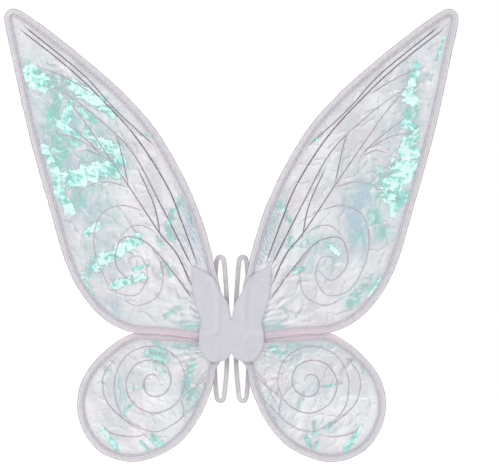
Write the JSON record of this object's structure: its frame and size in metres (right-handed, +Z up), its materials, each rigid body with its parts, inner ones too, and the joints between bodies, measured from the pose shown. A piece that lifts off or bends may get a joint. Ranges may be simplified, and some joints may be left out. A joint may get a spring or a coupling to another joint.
{
  "type": "fairy wings",
  "caption": "Dress-up fairy wings: iridescent film wings on wire frames, a felt butterfly hub that folds, and elastic shoulder loops.",
  "frame": {"origin": "middle of the strap keeper's face, the flat face that lies on the wearer's back", "axes": "+Z up as worn; +Y towards the wearer; +X to the viewer's right when the decorated side is seen"},
  "size_m": [0.576, 0.0155, 0.5757],
  "materials": {
    "film": "glossy",
    "casing": "satin",
    "wire": "satin",
    "tube": "matte",
    "felt": "matte",
    "elastic": "satin",
    "board": "matte",
    "wadding": "matte"
  },
  "bodies": {
    "centre": {"back_cover": "felt", "front_cover": "felt", "strap_keeper": "felt", "core_board": "board", "core_wadding": "wadding", "left_strap_leg": "elastic", "right_strap_leg": "elastic"},
    "left_wings": {"left_upper_wire": "wire", "left_upper_casing": "casing", "left_upper_film": "film", "left_upper_splice": "tube", "left_lower_wire": "wire", "left_lower_casing": "casing", "left_lower_film": "film", "left_lower_splice": "tube"},
    "right_wings": {"right_upper_wire": "wire", "right_upper_casing": "casing", "right_upper_film": "film", "right_upper_splice": "tube", "right_lower_wire": "wire", "right_lower_casing": "casing", "right_lower_film": "film", "right_lower_splice": "tube"},
    "left_strap": {"left_strap_loop": "elastic"},
    "right_strap": {"right_strap_loop": "elastic"}
  },
  "joints": [
    {"name": "left_wings_fold", "type": "hinge", "parent": "centre", "child": "left_wings", "pos_m": [-0.012, -0.004, 0], "axis": [0, 0, 1], "range_deg": [-10, 75], "deforming": ["front_cover", "back_cover"]},
    {"name": "right_wings_fold", "type": "hinge", "parent": "centre", "child": "right_wings", "pos_m": [0.012, -0.004, 0], "axis": [0, 0, -1], "range_deg": [-10, 75], "deforming": ["front_cover", "back_cover"]},
    {"name": "left_strap_swing", "type": "hinge", "parent": "centre", "child": "left_strap", "pos_m": [-0.0028, -0.0031, 0], "axis": [0, 0, -1], "range_deg": [-4, 78]},
    {"name": "right_strap_swing", "type": "hinge", "parent": "centre", "child": "right_strap", "pos_m": [0.0028, -0.0031, 0], "axis": [0, 0, 1], "range_deg": [-4, 78]}
  ]
}
